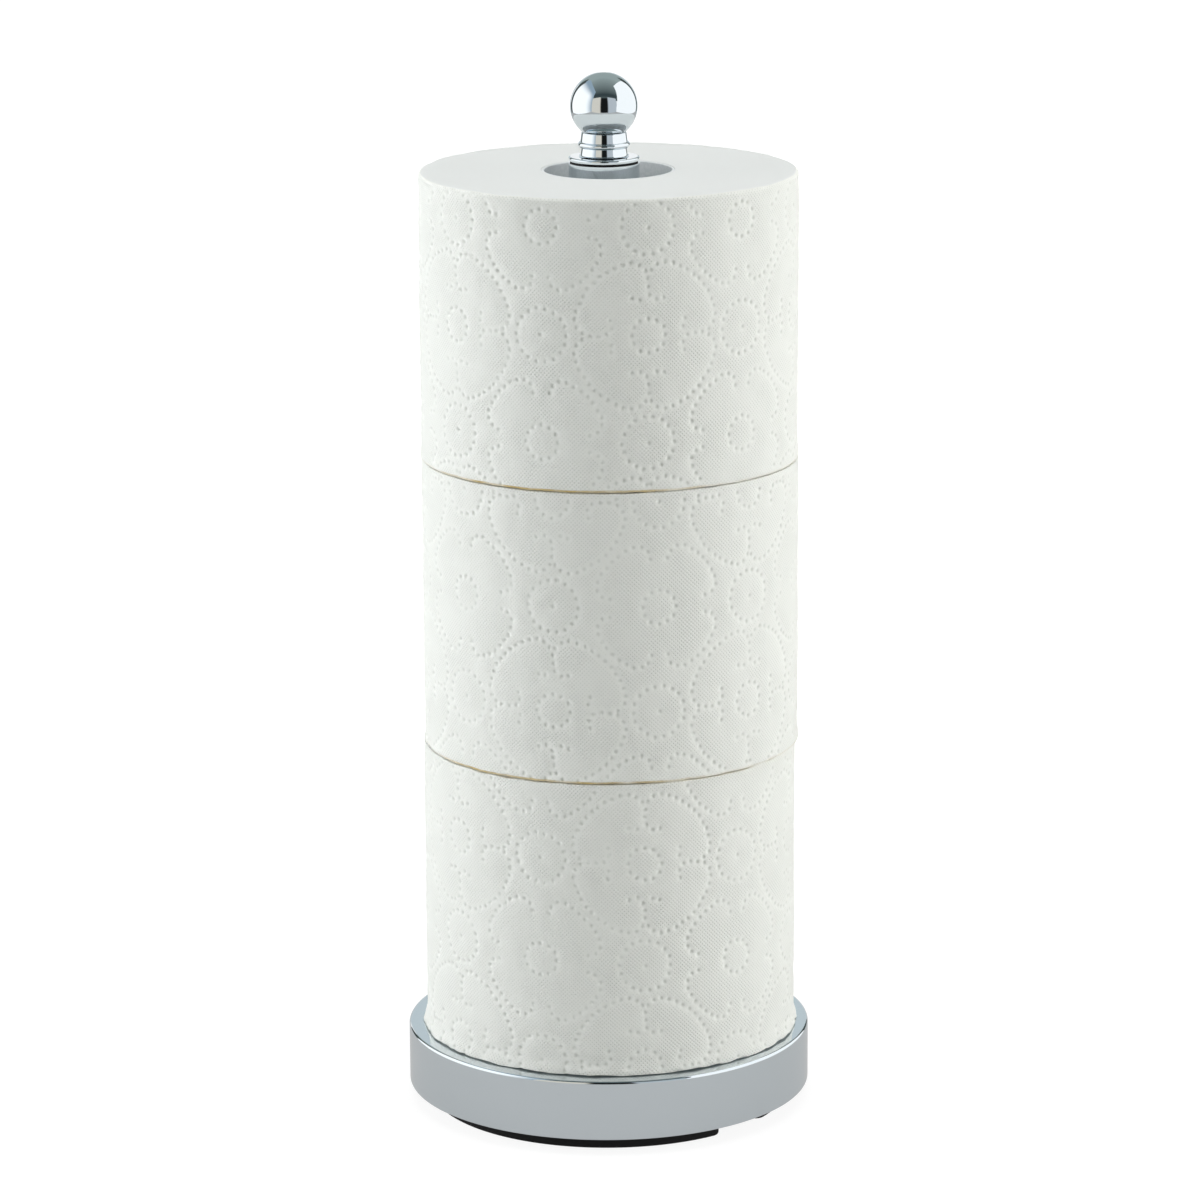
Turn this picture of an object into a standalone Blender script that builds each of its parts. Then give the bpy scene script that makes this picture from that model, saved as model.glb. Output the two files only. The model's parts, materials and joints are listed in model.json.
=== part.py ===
"""A free-standing toilet paper stand: a weighted chrome base and a post with a ball finial for three rolls.

Metres, +Z up. The origin is on the floor under the middle of the base, and -Y is the front.
"""

import math

import bpy

# Clearances and how finely round pieces are cut
GAP = 0.0003
MERGE = 0.00001
LARGE_STEPS = 72
SMALL_STEPS = 36
ARC_STEPS = 3
BALL_STEPS = 16
SHARP_ANGLE = math.radians(35)

# Foot: a split rubber ring, set in a groove under the base
FOOT_INSET = 0.007
FOOT_WIDTH = 0.007
FOOT_EDGE = 0.0008
FOOT_LIFT = 0.0052
FOOT_SPLIT = 0.016
FOOT_SPLIT_ANGLE = math.radians(-43)
FOOT_END_STEPS = 6

# Base shell: a cup drawn from steel sheet, open downwards
BASE_RADIUS = 0.065
BASE_HEIGHT = 0.01955
BASE_WALL = 0.0008
BASE_EDGE = 0.0015

# Bottom cover: a moulded disc with a well for the bolt
COVER_THICKNESS = 0.003
COVER_INSET = 0.0005
GROOVE_DEPTH_SHARE = 0.5
WELL_RADIUS = 0.016

# Bolt, washers and the threaded plugs in the post
BOLT_RADIUS = 0.004
BOLT_TIP = 0.0006
BOLT_REACH = 0.016
HEAD_ACROSS_FLATS = 0.013
HEAD_HEIGHT = 0.0053
HEAD_SIDES = 6
WASHER_RADIUS = 0.012
WASHER_THICKNESS = 0.002
SPRING_RADIUS = 0.0074
SPRING_THICKNESS = 0.002
SPRING_SLIT = 0.0012
PLUG_LENGTH = 0.020
PLUG_EDGE = 0.0005

# Post
POST_RADIUS = 0.010
POST_WALL = 0.001

# Finial: a cap over the post, a beaded neck and a ball, drawn together by a stud
COLLAR_RISE = 0.00425
COLLAR_WALL = 0.00085
COLLAR_TOP = 0.002
COLLAR_HEIGHT = 0.012
COLLAR_EDGE = 0.0006
NECK_RADIUS = 0.00725
NECK_HEIGHT = 0.0074
BEAD_STANDOUT = 0.0009
BEAD_HEIGHT = 0.0019
BEAD_CENTRE_SHARE = 0.459
BALL_RADIUS = 0.0106
BALL_HOLE_DEPTH = 0.008
STUD_RADIUS = 0.003
STUD_REACH = 0.014

# Rolls, from the lowest to the highest
ROLL_NAMES = ("lower", "middle", "upper")
ROLL_RADIUS = 0.060
ROLL_HEIGHT = 0.0926
ROLL_HEIGHT_EXTRAS = (0.0024, -0.0004, -0.0020)
ROLL_EDGE = 0.0012
ROLL_OFFSETS = (0.00065, 0.0012, 0.0012)
CORE_BORE_RADIUS = 0.020
CORE_WALL = 0.001
SHEET_STEP = 0.0005
SHEET_END_WIDTH = 0.0008
SHEET_END_ANGLES = tuple(math.radians(turn) for turn in (118, 62, 96))

# Heights above the floor, and what follows from the sizes
base_top = FOOT_LIFT + BASE_HEIGHT
foot_radius = BASE_RADIUS - FOOT_INSET
foot_inner = foot_radius - FOOT_WIDTH
cover_bottom = FOOT_LIFT + COVER_INSET
groove_depth = COVER_THICKNESS * GROOVE_DEPTH_SHARE
bolt_stack = WASHER_THICKNESS + SPRING_THICKNESS + HEAD_HEIGHT + 4 * GAP
well_floor = cover_bottom + bolt_stack
washer_bottom = well_floor - GAP - WASHER_THICKNESS
spring_bottom = washer_bottom - GAP - SPRING_THICKNESS
head_top = spring_bottom - GAP
weight_bottom = cover_bottom + COVER_THICKNESS + GAP
bolt_hole_radius = BOLT_RADIUS + GAP
stud_hole_radius = STUD_RADIUS + GAP
post_bottom = base_top + GAP
roll_heights = [ROLL_HEIGHT + extra for extra in ROLL_HEIGHT_EXTRAS]
roll_bottoms = [post_bottom + sum(roll_heights[:level]) + level * GAP for level in range(len(ROLL_NAMES))]
stack_top = roll_bottoms[-1] + roll_heights[-1]
collar_top = stack_top + COLLAR_RISE
collar_radius = POST_RADIUS + GAP + COLLAR_WALL
post_top = collar_top - COLLAR_TOP - GAP
neck_bottom = collar_top + GAP
ball_seat = neck_bottom + NECK_HEIGHT + GAP
ball_rise = math.sqrt(BALL_RADIUS**2 - NECK_RADIUS**2)
paper_bore_radius = CORE_BORE_RADIUS + CORE_WALL + GAP

parts = bpy.data.collections.new("toilet_paper_stand")
cutters = bpy.data.collections.new("cutters")


def clear_scene():
    for thing in list(bpy.data.objects):
        bpy.data.objects.remove(thing, do_unlink=True)
    bpy.context.scene.collection.children.link(parts)
    bpy.context.scene.collection.children.link(cutters)


def finish(name, colour, metallic, roughness):
    """One Principled material, with its colour as the photograph shows it under plain light."""
    material = bpy.data.materials.new(name)
    material.use_nodes = True
    shader = material.node_tree.nodes["Principled BSDF"]
    shader.inputs["Base Color"].default_value = (*colour, 1)
    shader.inputs["Metallic"].default_value = metallic
    shader.inputs["Roughness"].default_value = roughness
    material.diffuse_color = (*colour, 1)
    return material


def arc(centre, height, radius, start, end, steps=ARC_STEPS):
    """Points (distance from the axis, height) on an arc about (centre, height), its angles in degrees."""
    turns = [math.radians(start + (end - start) * step / steps) for step in range(steps + 1)]
    return [(centre + radius * math.cos(turn), height + radius * math.sin(turn)) for turn in turns]


def group(name, x=0, z=0):
    """An empty that carries the pieces of one moving group."""
    empty = bpy.data.objects.new(name, None)
    empty.location = (x, 0, z)
    empty.empty_display_size = BASE_RADIUS
    parts.objects.link(empty)
    return empty


def place(name, shape, material, parent, z):
    piece = bpy.data.objects.new(name, shape)
    piece.location.z = z
    piece.parent = parent
    shape.materials.append(material)
    parts.objects.link(piece)
    return piece


def turned(name, profile, material, parent, z=0, steps=SMALL_STEPS):
    """A piece turned about Z. The profile runs out over the top, down the outer side and back inside."""
    ends_on_axis = profile[0][0] == 0
    edges = [(point, point + 1) for point in range(len(profile) - 1)]
    if not ends_on_axis:
        edges.append((len(profile) - 1, 0))
    outline = bpy.data.meshes.new(f"{name}_profile")
    outline.from_pydata([(radius, 0, height) for radius, height in profile], edges, [])
    blank = bpy.data.objects.new(f"{name}_blank", outline)
    parts.objects.link(blank)
    screw = blank.modifiers.new("turn", "SCREW")
    screw.steps = screw.render_steps = steps
    screw.use_merge_vertices = True
    screw.merge_threshold = MERGE
    mesh = evaluated_mesh(blank, name)
    bpy.data.objects.remove(blank, do_unlink=True)
    bpy.data.meshes.remove(outline)
    mesh.shade_smooth()
    mesh.set_sharp_from_angle(angle=SHARP_ANGLE)
    return place(name, mesh, material, parent, z)


def evaluated_mesh(piece, name):
    bpy.context.view_layer.update()
    mesh = bpy.data.meshes.new_from_object(piece.evaluated_get(bpy.context.evaluated_depsgraph_get()))
    mesh.name = name
    return mesh


def ring_profile(bore, radius, height, edge=0):
    """A flat ring standing on its own zero height, with its outer corners cut back by edge."""
    if not edge:
        return [(bore, height), (radius, height), (radius, 0), (bore, 0)]
    return [
        (bore, height),
        (radius - edge, height),
        (radius, height - edge),
        (radius, edge),
        (radius - edge, 0),
        (bore, 0),
    ]


def helper(name, x=0, z=0):
    """Makes the shape just added a cutter, or one that another shape is joined with."""
    piece = bpy.context.object
    piece.name = name
    piece.location = (x, 0, z)
    for owner in list(piece.users_collection):
        owner.objects.unlink(piece)
    cutters.objects.link(piece)
    piece.hide_render = True
    piece.display_type = "WIRE"
    return piece


def boolean(piece, operation, other):
    modifier = piece.modifiers.new(operation.lower(), "BOOLEAN")
    modifier.operation = operation
    modifier.object = other


def make_foot(stand):
    """The ring's plan is a letter C with round ends, drawn as a flat curve and thickened."""
    middle = foot_radius - FOOT_WIDTH / 2
    half_split = (FOOT_SPLIT + FOOT_WIDTH) / (2 * middle)
    first = FOOT_SPLIT_ANGLE + half_split
    last = FOOT_SPLIT_ANGLE + math.tau - half_split
    turns = [first + (last - first) * step / LARGE_STEPS for step in range(LARGE_STEPS + 1)]
    points = [(foot_radius * math.cos(turn), foot_radius * math.sin(turn)) for turn in turns]
    points += round_end(middle, last, 0)
    points += [(foot_inner * math.cos(turn), foot_inner * math.sin(turn)) for turn in reversed(turns)]
    points += round_end(middle, first, math.pi)

    curve = bpy.data.curves.new("foot_ring", "CURVE")
    curve.dimensions = "2D"
    curve.fill_mode = "BOTH"
    height = cover_bottom + groove_depth - GAP
    curve.extrude = height / 2 - FOOT_EDGE
    curve.bevel_depth = FOOT_EDGE
    curve.offset = -FOOT_EDGE
    curve.bevel_resolution = 1
    spline = curve.splines.new("POLY")
    spline.points.add(len(points) - 1)
    for point, (x, y) in zip(spline.points, points):
        point.co = (x, y, 0, 1)
    spline.use_cyclic_u = True
    place("foot_ring", curve, black_rubber, stand, height / 2)


def round_end(middle, turn, start):
    """The points between a half-round end's two corners, start being the angle of the first from outwards."""
    centre = (middle * math.cos(turn), middle * math.sin(turn))
    points = []
    for step in range(1, FOOT_END_STEPS):
        angle = turn + start + math.pi * step / FOOT_END_STEPS
        points.append(
            (
                centre[0] + FOOT_WIDTH / 2 * math.cos(angle),
                centre[1] + FOOT_WIDTH / 2 * math.sin(angle),
            )
        )
    return points


def make_base(stand):
    corner = BASE_RADIUS - BASE_EDGE
    inner_edge = BASE_EDGE - BASE_WALL
    shell = [(bolt_hole_radius, BASE_HEIGHT)]
    shell += arc(corner, BASE_HEIGHT - BASE_EDGE, BASE_EDGE, 90, 0)
    shell += arc(BASE_RADIUS - BASE_WALL / 2, BASE_WALL / 2, BASE_WALL / 2, 0, -180)
    shell += arc(corner, BASE_HEIGHT - BASE_EDGE, inner_edge, 0, 90)
    shell += [(bolt_hole_radius, BASE_HEIGHT - BASE_WALL)]
    turned("base_shell", shell, chrome, stand, FOOT_LIFT, LARGE_STEPS)

    radius = BASE_RADIUS - BASE_WALL - GAP
    height = base_top - BASE_WALL - GAP - weight_bottom
    recess_radius = WELL_RADIUS + COVER_THICKNESS + GAP
    recess = well_floor + COVER_THICKNESS + GAP - weight_bottom
    weight = [
        (bolt_hole_radius, height),
        (radius - BASE_EDGE, height),
        (radius, height - BASE_EDGE),
        (radius, 0),
        (recess_radius, 0),
        (recess_radius, recess),
        (bolt_hole_radius, recess),
    ]
    turned("base_weight", weight, cast_iron, stand, weight_bottom, LARGE_STEPS)

    cover = [
        (bolt_hole_radius, bolt_stack + COVER_THICKNESS),
        (WELL_RADIUS + COVER_THICKNESS, bolt_stack + COVER_THICKNESS),
        (WELL_RADIUS + COVER_THICKNESS, COVER_THICKNESS),
        (radius, COVER_THICKNESS),
        (radius, 0),
        (foot_radius + GAP, 0),
        (foot_radius + GAP, groove_depth),
        (foot_inner - GAP, groove_depth),
        (foot_inner - GAP, 0),
        (WELL_RADIUS, 0),
        (WELL_RADIUS, bolt_stack),
        (bolt_hole_radius, bolt_stack),
    ]
    turned("bottom_cover", cover, black_plastic, stand, cover_bottom, LARGE_STEPS)


def make_bolt(stand):
    turned(
        "bolt_washer",
        ring_profile(bolt_hole_radius, WASHER_RADIUS, WASHER_THICKNESS),
        zinc_steel,
        stand,
        washer_bottom,
    )
    spring = turned(
        "spring_washer",
        ring_profile(bolt_hole_radius, SPRING_RADIUS, SPRING_THICKNESS),
        zinc_steel,
        stand,
        spring_bottom,
    )
    bpy.ops.mesh.primitive_cube_add(size=1, scale=(SPRING_RADIUS, SPRING_SLIT, 2 * SPRING_THICKNESS))
    slit = helper("spring_washer_slit", SPRING_RADIUS, spring_bottom + SPRING_THICKNESS / 2)
    boolean(spring, "DIFFERENCE", slit)

    shank_length = post_bottom + BOLT_REACH - head_top
    shank = [
        (0, shank_length),
        (BOLT_RADIUS - BOLT_TIP, shank_length),
        (BOLT_RADIUS, shank_length - BOLT_TIP),
        (BOLT_RADIUS, -HEAD_HEIGHT / 2),
        (0, -HEAD_HEIGHT / 2),
    ]
    bolt = turned("base_bolt", shank, zinc_steel, stand, head_top)
    bpy.ops.mesh.primitive_cylinder_add(
        vertices=HEAD_SIDES,
        radius=HEAD_ACROSS_FLATS / 2 / math.cos(math.pi / HEAD_SIDES),
        depth=HEAD_HEIGHT,
    )
    boolean(bolt, "UNION", helper("base_bolt_head", z=head_top - HEAD_HEIGHT / 2))


def make_post(stand):
    length = post_top - post_bottom
    inner = POST_RADIUS - POST_WALL
    turned("post_tube", ring_profile(inner, POST_RADIUS, length), chrome, stand, post_bottom)
    plug = inner - GAP
    lower = ring_profile(bolt_hole_radius, plug, PLUG_LENGTH, PLUG_EDGE)
    turned("post_lower_plug", lower, zinc_steel, stand, post_bottom)
    upper = ring_profile(stud_hole_radius, plug, PLUG_LENGTH, PLUG_EDGE)
    turned("post_upper_plug", upper, zinc_steel, stand, post_top - PLUG_LENGTH)


def make_finial(stand):
    collar = [(stud_hole_radius, COLLAR_HEIGHT)]
    collar += arc(collar_radius - COLLAR_EDGE, COLLAR_HEIGHT - COLLAR_EDGE, COLLAR_EDGE, 90, 0)
    collar += [
        (collar_radius, 0),
        (POST_RADIUS + GAP, 0),
        (POST_RADIUS + GAP, COLLAR_HEIGHT - COLLAR_TOP),
        (stud_hole_radius, COLLAR_HEIGHT - COLLAR_TOP),
    ]
    turned("finial_collar", collar, chrome, stand, collar_top - COLLAR_HEIGHT)

    bead_centre = NECK_HEIGHT * BEAD_CENTRE_SHARE
    bead = [
        (NECK_RADIUS + BEAD_STANDOUT * math.cos(turn), bead_centre + BEAD_HEIGHT / 2 * math.sin(turn))
        for turn in (math.pi / 2 - math.pi * step / (2 * ARC_STEPS) for step in range(2 * ARC_STEPS + 1))
    ]
    neck = [(stud_hole_radius, NECK_HEIGHT), (NECK_RADIUS, NECK_HEIGHT)]
    neck += bead
    neck += [(NECK_RADIUS, 0), (stud_hole_radius, 0)]
    turned("finial_neck", neck, chrome, stand, neck_bottom)

    seat_angle = -math.degrees(math.acos(NECK_RADIUS / BALL_RADIUS))
    ball = [(0, ball_rise + BALL_RADIUS)]
    ball += arc(0, ball_rise, BALL_RADIUS, 90, seat_angle, BALL_STEPS)[1:]
    ball += [(stud_hole_radius, 0), (stud_hole_radius, BALL_HOLE_DEPTH), (0, BALL_HOLE_DEPTH)]
    turned("finial_ball", ball, chrome, stand, ball_seat)

    stud_bottom = post_top - STUD_REACH
    stud_length = ball_seat + BALL_HOLE_DEPTH - GAP - stud_bottom
    stud = ring_profile(0, STUD_RADIUS, stud_length, BOLT_TIP)
    turned("finial_stud", stud, zinc_steel, stand, stud_bottom)


def make_roll(name, offset, bottom, height, end_angle):
    """A winding of paper on its cardboard core, with the step where the sheet's loose end lies."""
    roll = group(f"{name}_roll", offset, bottom)
    core_radius = CORE_BORE_RADIUS + CORE_WALL
    core = ring_profile(CORE_BORE_RADIUS, core_radius, height)
    turned(f"{name}_roll_core", core, cardboard, roll)
    edge = ROLL_RADIUS - ROLL_EDGE
    winding = [(paper_bore_radius, height)]
    winding += arc(edge, height - ROLL_EDGE, ROLL_EDGE, 90, 0)
    winding += arc(edge, ROLL_EDGE, ROLL_EDGE, 0, -90)
    winding += [(paper_bore_radius, 0)]
    paper = turned(f"{name}_roll_paper", winding, white_paper, roll, steps=LARGE_STEPS)
    wind(paper.data, end_angle)


def wind(mesh, end_angle):
    """Makes the outside a spiral one sheet deep. Column 0 is the loose end, column 1 the foot of its step."""
    step_width = SHEET_END_WIDTH / ROLL_RADIUS
    column_width = (math.tau - step_width) / (LARGE_STEPS - 1)
    for vertex in mesh.vertices:
        x, y, _ = vertex.co
        radius = math.hypot(x, y)
        column = round(math.atan2(y, x) / math.tau * LARGE_STEPS) % LARGE_STEPS
        turn = 0
        if column:
            turn = step_width + (column - 1) * column_width
            depth = (radius - paper_bore_radius) / (ROLL_RADIUS - paper_bore_radius)
            radius -= SHEET_STEP * depth * (1 - turn / math.tau)
        vertex.co.x = radius * math.cos(turn + end_angle)
        vertex.co.y = radius * math.sin(turn + end_angle)
    mesh.update()


clear_scene()

chrome = finish("chrome_plate", (0.78, 0.80, 0.82), 1, 0.06)
zinc_steel = finish("zinc_plated_steel", (0.62, 0.63, 0.64), 1, 0.35)
cast_iron = finish("cast_iron", (0.09, 0.09, 0.10), 0.6, 0.7)
black_rubber = finish("black_rubber", (0.012, 0.012, 0.014), 0, 0.7)
black_plastic = finish("black_plastic", (0.02, 0.02, 0.02), 0, 0.55)
white_paper = finish("white_tissue_paper", (0.83, 0.84, 0.82), 0, 0.9)
cardboard = finish("grey_cardboard", (0.52, 0.54, 0.53), 0, 0.9)

stand_group = group("stand")
make_foot(stand_group)
make_base(stand_group)
make_bolt(stand_group)
make_post(stand_group)
make_finial(stand_group)
for roll_name, roll_offset, roll_bottom, roll_height, sheet_end in zip(
    ROLL_NAMES, ROLL_OFFSETS, roll_bottoms, roll_heights, SHEET_END_ANGLES
):
    make_roll(roll_name, roll_offset, roll_bottom, roll_height, sheet_end)
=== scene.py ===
# %% [markdown]
# # A toilet paper stand, dressed
#
# A heavy chromed base, a post with a ball on top, and three toilet rolls put over the post.
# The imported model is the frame: it says where each part is and how it moves, and nothing in it is changed here.
# This lesson gives the visible parts their finish. Chrome is a mirror, so its meshes are made anew and finer.
# Tissue is soft and embossed, so each roll is wound again from a flat sheet with its pattern pressed in.

import json
import math
import random

import bmesh
import bpy
from mathutils import Matrix, Vector
from mathutils.geometry import delaunay_2d_cdt
from mathutils.kdtree import KDTree


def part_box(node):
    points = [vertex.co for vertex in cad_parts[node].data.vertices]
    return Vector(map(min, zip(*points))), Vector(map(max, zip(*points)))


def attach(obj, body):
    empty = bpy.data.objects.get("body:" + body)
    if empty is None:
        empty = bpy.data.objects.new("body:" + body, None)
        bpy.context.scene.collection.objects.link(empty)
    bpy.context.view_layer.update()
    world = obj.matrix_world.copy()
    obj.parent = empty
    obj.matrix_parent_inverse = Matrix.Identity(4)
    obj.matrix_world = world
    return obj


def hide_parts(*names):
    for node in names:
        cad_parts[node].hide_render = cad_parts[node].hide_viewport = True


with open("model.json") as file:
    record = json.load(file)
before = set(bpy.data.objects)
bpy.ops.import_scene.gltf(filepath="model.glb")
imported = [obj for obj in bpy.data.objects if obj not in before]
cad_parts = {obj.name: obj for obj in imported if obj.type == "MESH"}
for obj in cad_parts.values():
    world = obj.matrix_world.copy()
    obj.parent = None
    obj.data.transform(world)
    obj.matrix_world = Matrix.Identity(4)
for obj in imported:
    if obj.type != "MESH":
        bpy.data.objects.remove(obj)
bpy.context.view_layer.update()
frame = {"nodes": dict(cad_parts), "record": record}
MM = 0.001

# %% [markdown]
# ## The camera
#
# It stands where the photograph was taken from: a long lens, well back, looking a little down.
# The place and the turns come from matching the rims of the rolls and of the base, which are true circles.

# %% Camera
CAMERA_PLACE = Vector((-7.8, -1531.5, 536.5)) * MM
CAMERA_LENS = 147.75
CAMERA_YAW = math.radians(0.215)
CAMERA_PITCH = math.radians(13.65)
CAMERA_ROLL = math.radians(-0.326)

camera = bpy.data.objects.new("camera", bpy.data.cameras.new("camera"))
camera.data.lens = CAMERA_LENS
camera.data.sensor_width = 36
turn = Matrix.Rotation(-CAMERA_YAW, 4, "Z") @ Matrix.Rotation(math.pi / 2 - CAMERA_PITCH, 4, "X")
camera.matrix_world = Matrix.Translation(CAMERA_PLACE) @ turn @ Matrix.Rotation(CAMERA_ROLL, 4, "Z")
bpy.context.scene.collection.objects.link(camera)
bpy.context.scene.camera = camera
bpy.context.scene.view_settings.view_transform = "Standard"
print(f"camera {CAMERA_PLACE.length:.2f} m from the origin, {CAMERA_LENS} mm lens")

# %% [markdown]
# ## Colours and nodes
#
# A colour picked from a screen is an sRGB value, while the shaders count in linear light.
# One function turns the first into the second. One more adds a node of any kind with its settings and links,
# so that each tree below reads as a list of what it does. The names of the commonest nodes are kept in constants.


# %% Helpers for every node tree
MATHS, VECTORS, RANGE = "ShaderNodeMath", "ShaderNodeVectorMath", "ShaderNodeMapRange"
NOISE, BUMP, MIX = "ShaderNodeTexNoise", "ShaderNodeBump", "ShaderNodeMix"
SPLIT, JOIN = "ShaderNodeSeparateXYZ", "ShaderNodeCombineXYZ"
SMOOTH = {"interpolation_type": "SMOOTHSTEP"}
COORDINATES, ATTRIBUTE = "ShaderNodeTexCoord", "ShaderNodeAttribute"


def linear(hex_colour):
    """The linear colour, with an alpha of 1, of an sRGB colour such as "#EBECE9"."""
    values = [int(hex_colour[place : place + 2], 16) / 255 for place in (1, 3, 5)]
    return (*(v / 12.92 if v <= 0.04045 else ((v + 0.055) / 1.055) ** 2.4 for v in values), 1)


def node(tree, kind, inputs=(), **settings):
    """Adds a node. Its inputs come in their order or by name: plain values, outputs, or nodes (their first output)."""
    made = tree.nodes.new(kind)
    for name, value in settings.items():
        setattr(made, name, value)
    sockets = [socket for socket in made.inputs if socket.enabled]
    if isinstance(inputs, dict):
        by_name = {socket.name: socket for socket in sockets}
        sockets, inputs = [by_name[name] for name in inputs], inputs.values()
    for socket, value in zip(sockets, inputs):
        if isinstance(value, bpy.types.Node):
            value = next(output for output in value.outputs if output.enabled)
        if isinstance(value, bpy.types.NodeSocket):
            tree.links.new(value, socket)
        else:
            socket.default_value = value
    return made


def finish(name, colour, **sockets):
    """A new material, its tree and its shader, with plain values on the shader's own sockets."""
    material = bpy.data.materials.new(name)
    material.use_nodes = True
    shader = material.node_tree.nodes["Principled BSDF"]
    shader.inputs["Base Color"].default_value = linear(colour)
    for socket, value in sockets.items():
        shader.inputs[socket.replace("_", " ")].default_value = value
    return material, material.node_tree, shader.inputs


print("helpers ready, white is", linear("#FFFFFF"))

# %% [markdown]
# ## Chrome plate
#
# Bright nickel with a flash of chromium over it, on buffed steel. The eye sees an almost perfect mirror,
# a little darker and bluer than silver. The buffing leaves a faint haze in patches some millimetres wide,
# so the roughness wanders, and a waviness of a few microns makes long reflections swim slightly.

# %% Chrome
HAZE_WIDTH = 5 * MM
CHROME_WAVE = 0.004 * MM
CHROME_ROUGHNESS = (0.025, 0.06)

chrome, tree, shader = finish("chrome_plate_on_steel", "#DFE6EA", Metallic=1.0)
place = node(tree, COORDINATES).outputs["Object"]
haze = node(tree, NOISE, [place, 1 / HAZE_WIDTH, 3.0])
dull = node(tree, RANGE, [haze, 0.0, 1.0, *CHROME_ROUGHNESS])
wave = node(tree, BUMP, {"Height": haze, "Strength": 0.5, "Distance": CHROME_WAVE})
tree.links.new(dull.outputs[0], shader["Roughness"])
tree.links.new(wave.outputs[0], shader["Normal"])
print(chrome.name)

# %% [markdown]
# ## Rubber, moulded plastic, cast iron and zinc plate
#
# Little of this shows: the foot ring from the side, and the cover and the bolt's head when the stand is turned
# over. The weight, the plugs and the stud stay hidden, and are finished for whoever takes the stand apart.
# Rubber is moulded in a steel tool and swallows light. The cover is spark-textured ABS. The weight is raw
# grey iron, grainy from the sand. The bolt, its washers, the plugs and the stud are zinc plated, with a
# satin grain.

# %% The four plain finishes
GRAINS = {
    "moulded_black_rubber": ("#0C0C0D", 0.86, 0.0, 0.35 * MM, 0.02 * MM),
    "spark_textured_black_abs": ("#1D1D1E", 0.55, 0.0, 0.25 * MM, 0.02 * MM),
    "sand_cast_iron": ("#4A4A4C", 0.62, 0.8, 1.2 * MM, 0.12 * MM),
    "zinc_plated_steel": ("#B4B7BA", 0.34, 1.0, 0.5 * MM, 0.006 * MM),
}
ROUGHNESS_SPREAD = 0.08

plain = {}
for name, (colour, roughness, metal, grain_width, grain_depth) in GRAINS.items():
    plain[name], tree, shader = finish(name, colour, Metallic=metal)
    place = node(tree, COORDINATES).outputs["Object"]
    grain = node(tree, NOISE, [place, 1 / grain_width, 4.0])
    dull = node(tree, RANGE, [grain, 0.0, 1.0, roughness - ROUGHNESS_SPREAD, roughness + ROUGHNESS_SPREAD])
    rough = node(tree, BUMP, {"Height": grain, "Distance": grain_depth})
    tree.links.new(dull.outputs[0], shader["Roughness"])
    tree.links.new(rough.outputs[0], shader["Normal"])
print("plain finishes:", ", ".join(plain))

# %% [markdown]
# ## Tissue
#
# Bleached pulp, pressed so lightly that it stays fluffy: it scatters light and has next to no gloss.
# A pin roller has pricked it all over in a diagonal net, with about 1.4 mm between the pins. It is drawn finer
# here, with 0.9 mm between them, because the wider net that was tried drowned the large dots. It isn't worth a
# mesh, so it is a bump, with a little painted shade in each pit. It is laid out on the sheet's own flat
# coordinates, which the winding stores as an attribute in metres: x runs along the sheet, y up it, and z is the
# distance from the post. Close to the large dots, which a second roller presses, the sheet is pulled taut and
# the net is gone. The large dots are darker, partly as denser pressed tissue and partly as painted shade.
# Along the lowest edge of the two upper rolls a straw brown is painted, most on the side to the front: it is
# painted shade in the seam where each of them stands on the roll below. The lowest roll's edge has none.
# A slow noise shoves the net about, and makes it and the painted seam shade uneven.

# %% Tissue
NET_PITCH = 1.3 * MM
NET_DEPTH = 0.15 * MM
NET_WANDER, NET_PATCH = 0.60 * MM, 9 * MM
NET_STRENGTH = (0.35, 0.65, 0.50, 1.0)
PIT_POWER = 1.5
# The darker tone: in each pit it is painted shade, and at the large dots it is partly denser pressed tissue and partly
# painted shade.
TISSUE_WHITE, TISSUE_PRESSED_AND_SHADED = "#ECEDE8", "#C6CAC2"
PIT_PAINTED_SHADE, DOT_PRESSED_AND_SHADED = 0.62, 0.31
SHADE_FROM, SHADE_TO = 0.25 * MM, 0.95 * MM
# Painted seam shade: a straw brown along the lower edge of the two upper rolls, for the shade where they stand on the
# roll below.
PAINTED_SEAM_TONE = "#CDB884"
SEAM_SHADE_FROM, SEAM_SHADE_TO = 0.65 * MM, 0.35 * MM
SEAM_SHADE_STRENGTH = (0.35, 0.6, 0.35, 1.0)
SEAM_SHADE_FACING = (-0.29, -0.956, 0)
SEAM_SHADE_REACH = (39 * MM, 52 * MM, 0.15, 1.0)
NO_SEAM_SHADE_BELOW = 100 * MM
TAUT_FROM, TAUT_TO = 1.0 * MM, 2.1 * MM
FIBRE_WIDTH, FIBRE_DEPTH = 0.35 * MM, 0.06 * MM

tissue, tree, shader = finish("embossed_bleached_tissue", TISSUE_WHITE, Roughness=0.95, Specular_IOR_Level=0.15)
sheet = node(tree, ATTRIBUTE, attribute_name="sheet").outputs["Vector"]
to_dot = node(tree, ATTRIBUTE, attribute_name="to_dot").outputs["Fac"]
patch = node(tree, NOISE, [sheet, 1 / NET_PATCH, 2.5]).outputs
shoved = node(tree, VECTORS, [patch["Color"], (NET_WANDER, NET_WANDER, 0), sheet], operation="MULTIPLY_ADD")
pins = node(tree, VECTORS, [shoved, math.tau / NET_PITCH], operation="SCALE")
pins = node(tree, SPLIT, [pins]).outputs
columns = node(tree, MATHS, [pins["X"]], operation="COSINE")
rows = node(tree, MATHS, [pins["Y"]], operation="COSINE")
net = node(tree, MATHS, [columns, rows], operation="MULTIPLY")
pits = node(tree, MATHS, [net, 0.0], operation="MAXIMUM")
pits = node(tree, MATHS, [pits, PIT_POWER], operation="POWER")
firm = node(tree, RANGE, [patch["Fac"], *NET_STRENGTH])
loose = node(tree, RANGE, [to_dot, TAUT_FROM, TAUT_TO, 0.0, 1.0], **SMOOTH)
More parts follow.
